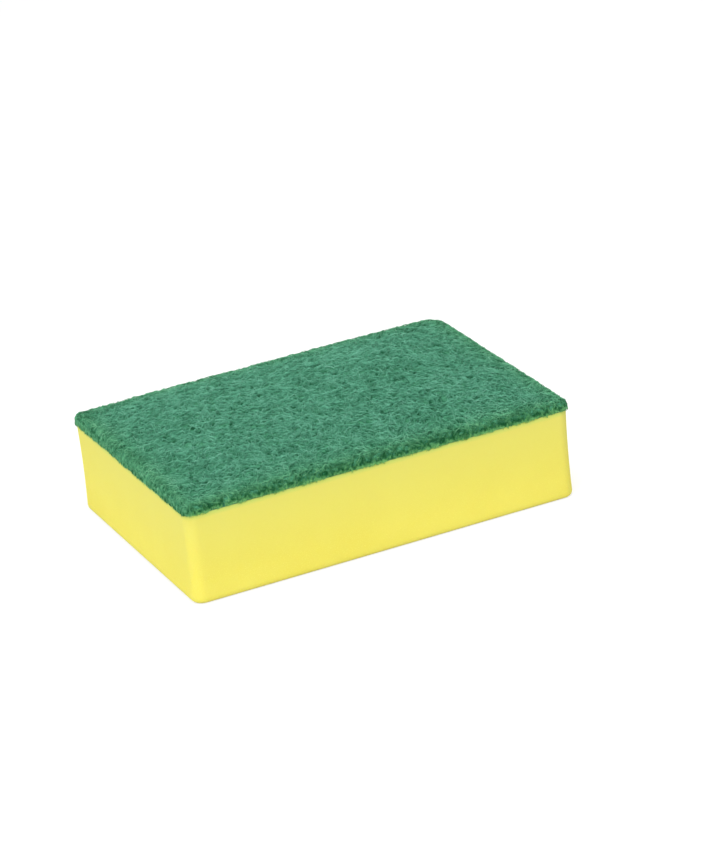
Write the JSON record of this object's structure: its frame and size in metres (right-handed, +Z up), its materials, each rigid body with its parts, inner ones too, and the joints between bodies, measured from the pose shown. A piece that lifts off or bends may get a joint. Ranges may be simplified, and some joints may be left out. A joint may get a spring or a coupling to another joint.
{
  "type": "cleaning sponge",
  "caption": "Rectangular cleaning sponge: a soft yellow foam block with a green scouring pad of matted fibre bonded to its top face.",
  "frame": {"origin": "middle of the flat underside of the foam, on the surface the sponge stands on", "axes": "+X along the sponge's length, +Y along its width, +Z up through the foam to the scouring pad"},
  "size_m": [0.1, 0.07, 0.0285],
  "materials": {
    "foam": "matt, fine open-cell polyurethane foam",
    "scouring_fibre": "matted crimped nylon fibre, slightly glossy"
  },
  "bodies": {
    "root": {"foam_block": "foam", "scouring_pad": "scouring_fibre"}
  },
  "joints": []
}
